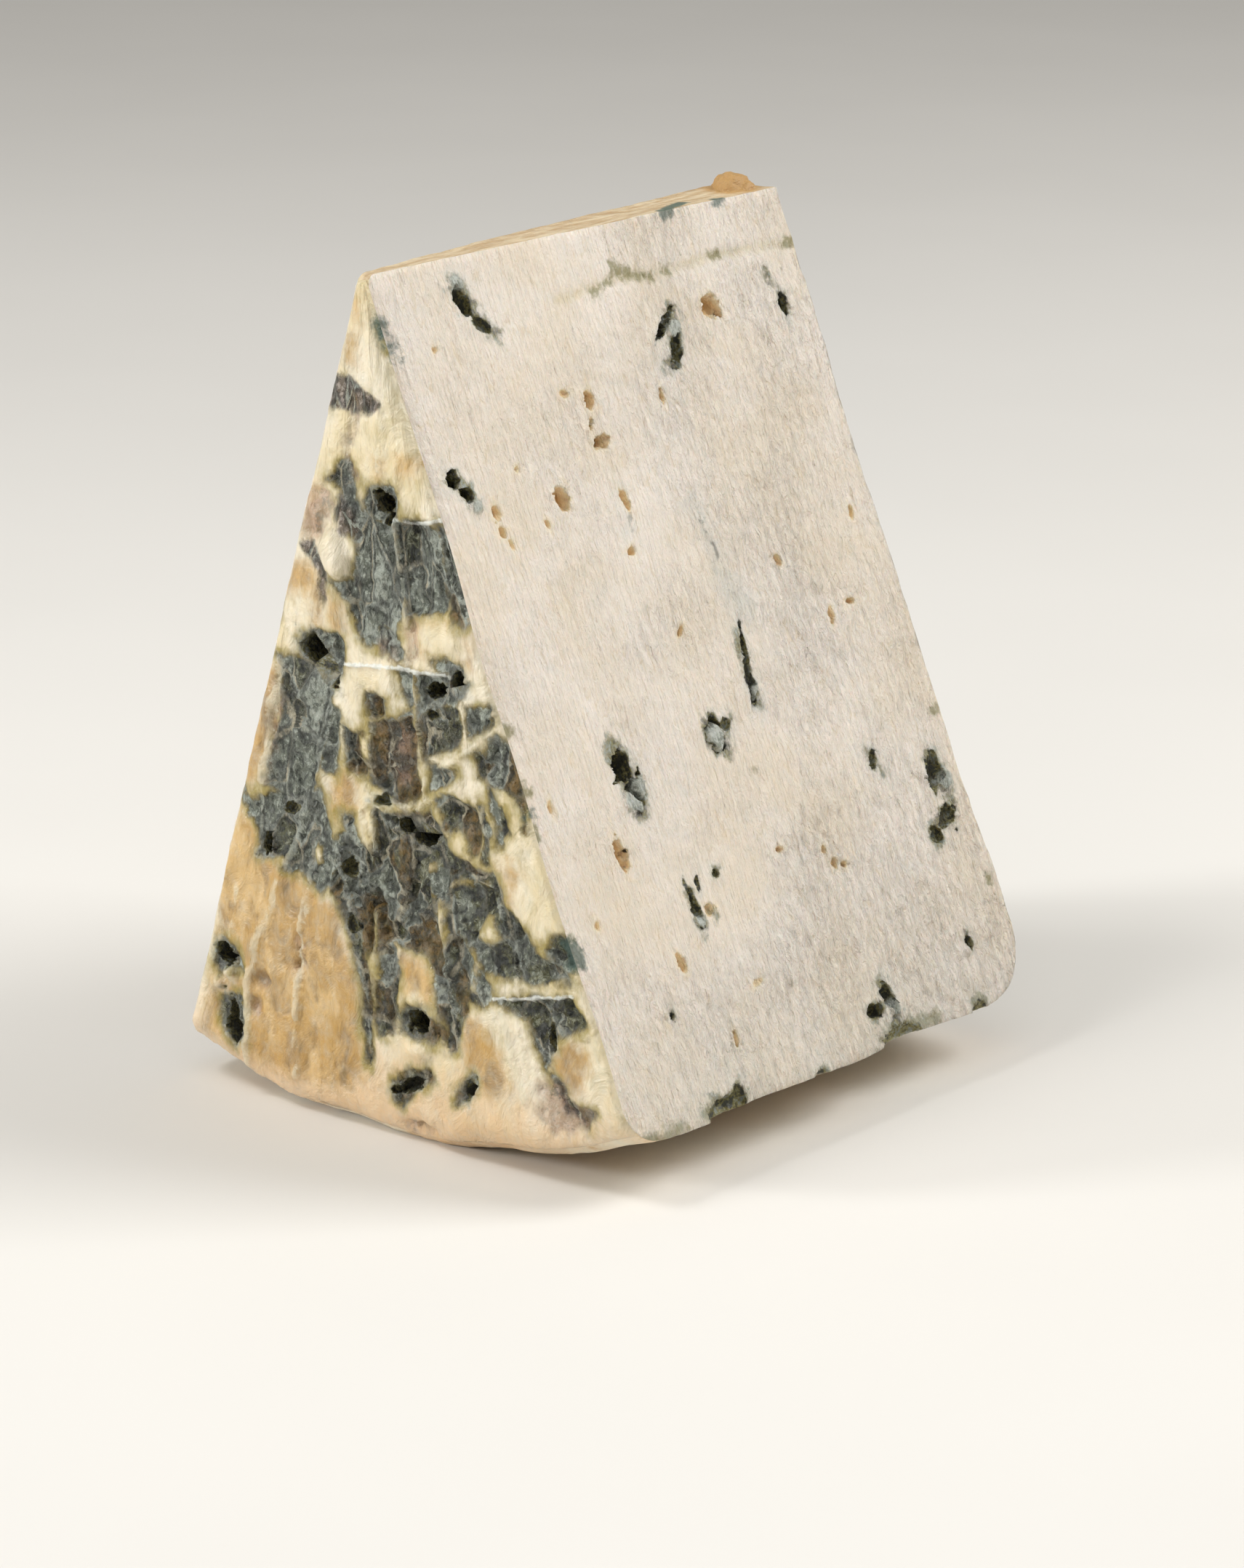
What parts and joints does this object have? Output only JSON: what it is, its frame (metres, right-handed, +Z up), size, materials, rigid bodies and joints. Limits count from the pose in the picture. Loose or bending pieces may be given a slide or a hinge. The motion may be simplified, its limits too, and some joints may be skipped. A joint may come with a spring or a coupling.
{
  "type": "blue cheese wedge",
  "caption": "Wedge of blue cheese cut from a low round wheel and stood on its rim, with a mouldy ridged rind and a pale cut face with holes.",
  "frame": {"origin": "centre of the flat foot on the wheel's rim, straight below the wheel's axis and half way through the wheel's height", "axes": "+Z up towards the tip of the wedge, -Y towards the flat rind face that the viewer sees, +X towards the large cut face"},
  "size_m": [0.0746, 0.0764, 0.1047],
  "materials": {
    "cheese": "satin, slightly moist"
  },
  "bodies": {
    "root": {"cheese_wedge": "cheese"}
  },
  "joints": []
}
